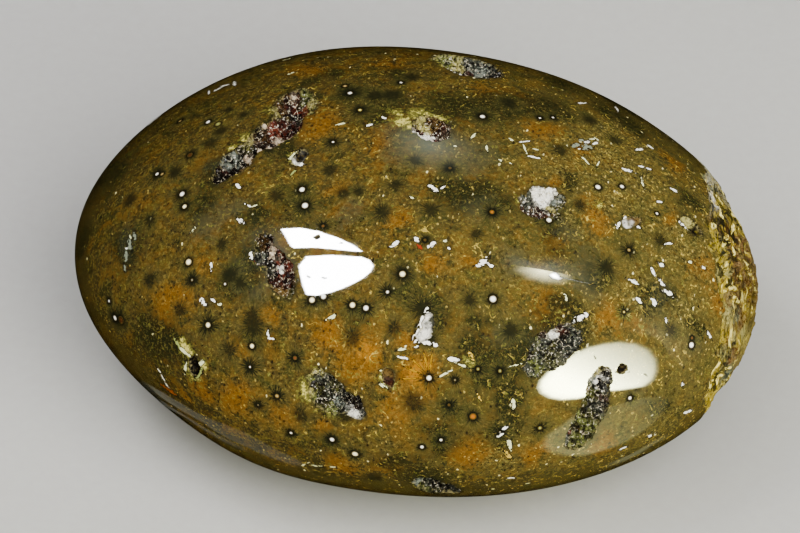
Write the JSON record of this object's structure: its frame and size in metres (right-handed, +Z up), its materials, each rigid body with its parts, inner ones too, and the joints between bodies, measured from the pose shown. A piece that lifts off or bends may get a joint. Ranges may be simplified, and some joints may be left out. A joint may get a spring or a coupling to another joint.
{
  "type": "ocean jasper palm stone",
  "caption": "Polished egg-shaped palm stone of orbicular jasper with open crystal-lined hollows and one rough end, resting on a small flat spot.",
  "frame": {"origin": "centre of the stone's footprint, on the small flat spot it rests on", "axes": "+X along the stone's length towards the rough end, +Y towards the back, +Z up"},
  "size_m": [0.065, 0.048, 0.034],
  "materials": {
    "polished_jasper": "hand-polished to a mirror gloss, orbs and clouds of olive, gold and brown, one rough matt end",
    "quartz_druse": "fine glassy quartz crystals, grey and white with rust-red and cream patches"
  },
  "bodies": {
    "root": {"stone": "polished_jasper", "long_vug_crystals": "quartz_druse", "top_vug_crystals": "quartz_druse", "crown_vug_crystals": "quartz_druse", "sparkle_vug_crystals": "quartz_druse", "red_vug_crystals": "quartz_druse", "grey_vug_crystals": "quartz_druse", "crackle_vug_crystals": "quartz_druse", "cleft_vug_crystals": "quartz_druse", "foot_vug_crystals": "quartz_druse"}
  },
  "joints": []
}
